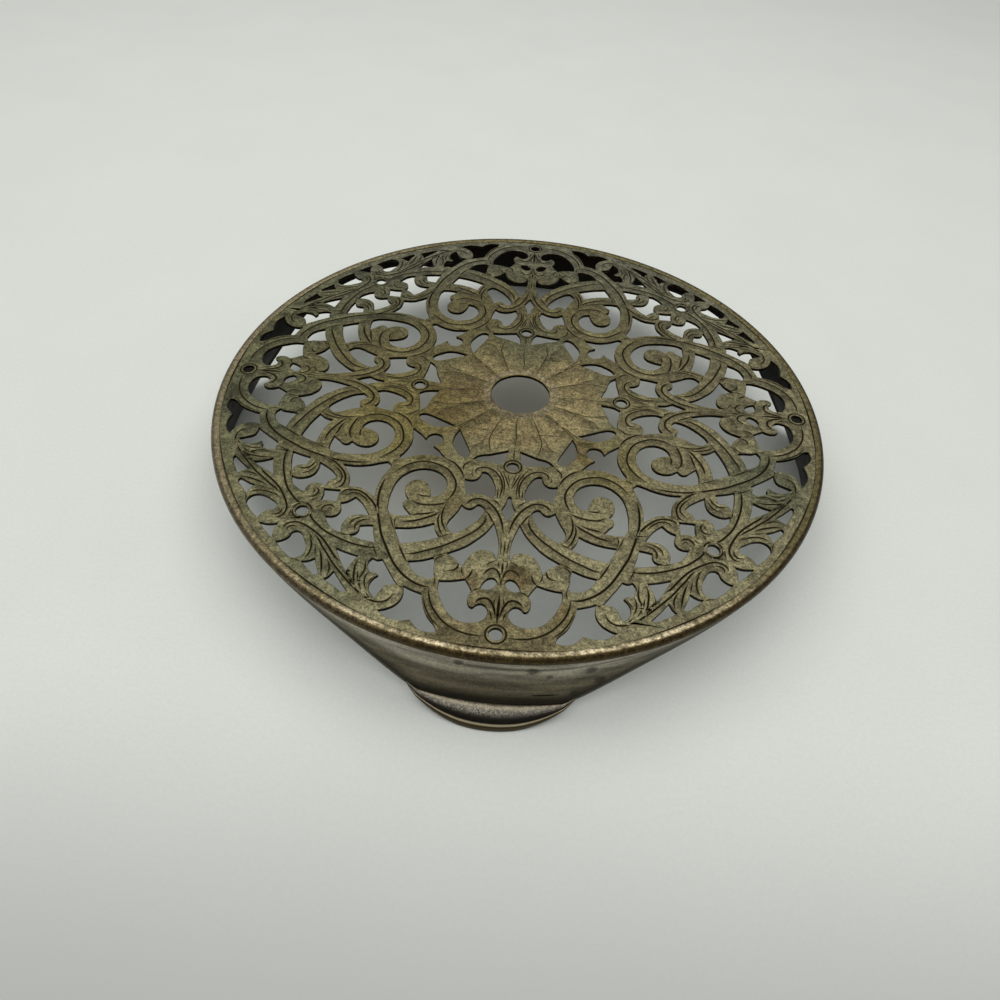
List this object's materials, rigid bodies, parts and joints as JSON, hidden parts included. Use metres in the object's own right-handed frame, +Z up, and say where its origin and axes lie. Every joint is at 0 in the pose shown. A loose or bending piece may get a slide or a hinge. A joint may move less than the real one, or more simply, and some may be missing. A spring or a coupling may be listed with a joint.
{
  "type": "pierced trivet",
  "caption": "Round brass trivet: a flat pierced and engraved plate in a rounded rim, on a plated skirt cut in arches between moulded feet.",
  "frame": {"origin": "on the table under the middle of the plate, at the centre of the bounding box's bottom face", "axes": "+Z up through the centre hole; X and Y through the middles of the four feet"},
  "size_m": [0.2158, 0.2158, 0.0249],
  "materials": {
    "patinated_brass": "olive-brown patina with fine speckle, dark in the engraved lines",
    "polished_brass": "handled to a warm polish on the crest, brown below it",
    "nickel_plate": "worn grey plating over cast brass, brushed round the skirt"
  },
  "bodies": {
    "root": {"pierced_top": "patinated_brass", "rim": "polished_brass", "skirt": "nickel_plate"}
  },
  "joints": []
}
